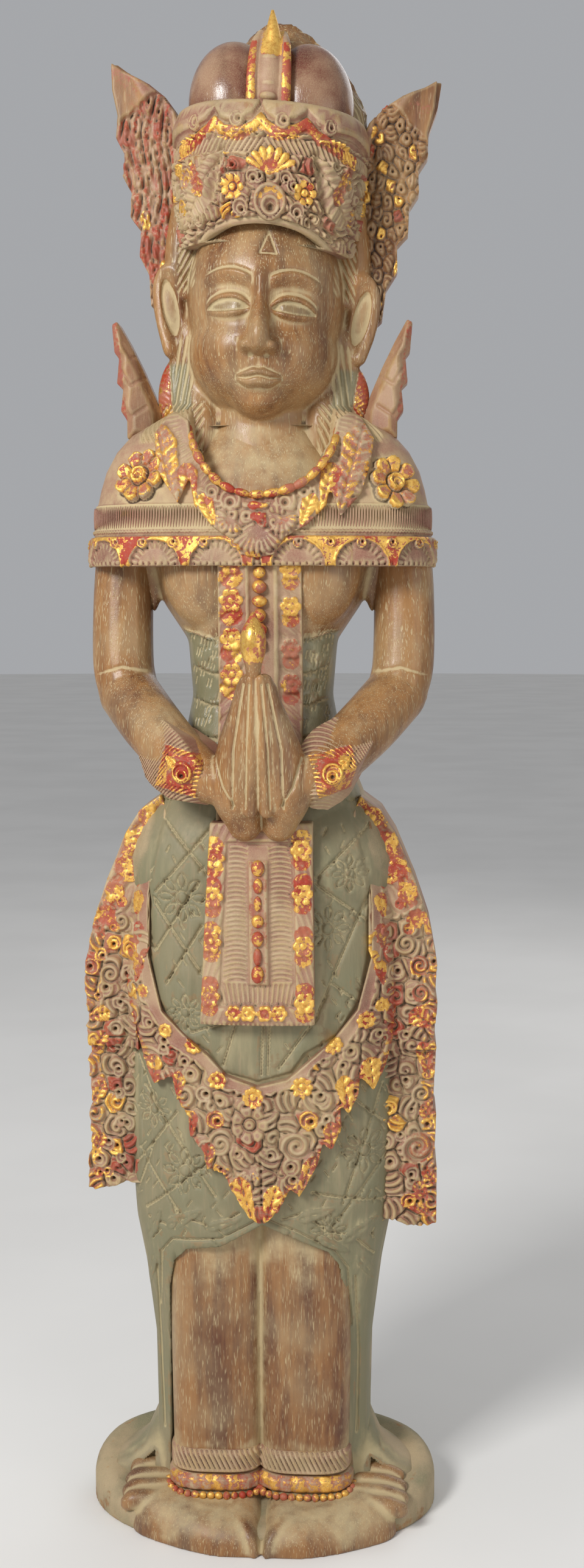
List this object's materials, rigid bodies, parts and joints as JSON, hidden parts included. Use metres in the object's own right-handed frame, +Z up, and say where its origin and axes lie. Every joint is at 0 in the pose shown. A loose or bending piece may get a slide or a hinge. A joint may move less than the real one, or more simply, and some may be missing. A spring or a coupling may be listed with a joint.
{
  "type": "carved wooden figure",
  "caption": "Standing carved wooden goddess with tall crown and winged ear pieces, hands pressed together in prayer, on an oval base.",
  "frame": {"origin": "middle of the outline in plan, on the flat underside of the base", "axes": "+Z up the figure to the crown, the figure faces -Y, +X to the viewer's right when it is seen from the front"},
  "size_m": [0.2388, 0.1826, 1.0003],
  "materials": {
    "painted_wood": "satin brown wood with worn green and rose paint, red ground and gold leaf"
  },
  "bodies": {
    "root": {"carved_figure": "painted_wood"}
  },
  "joints": []
}
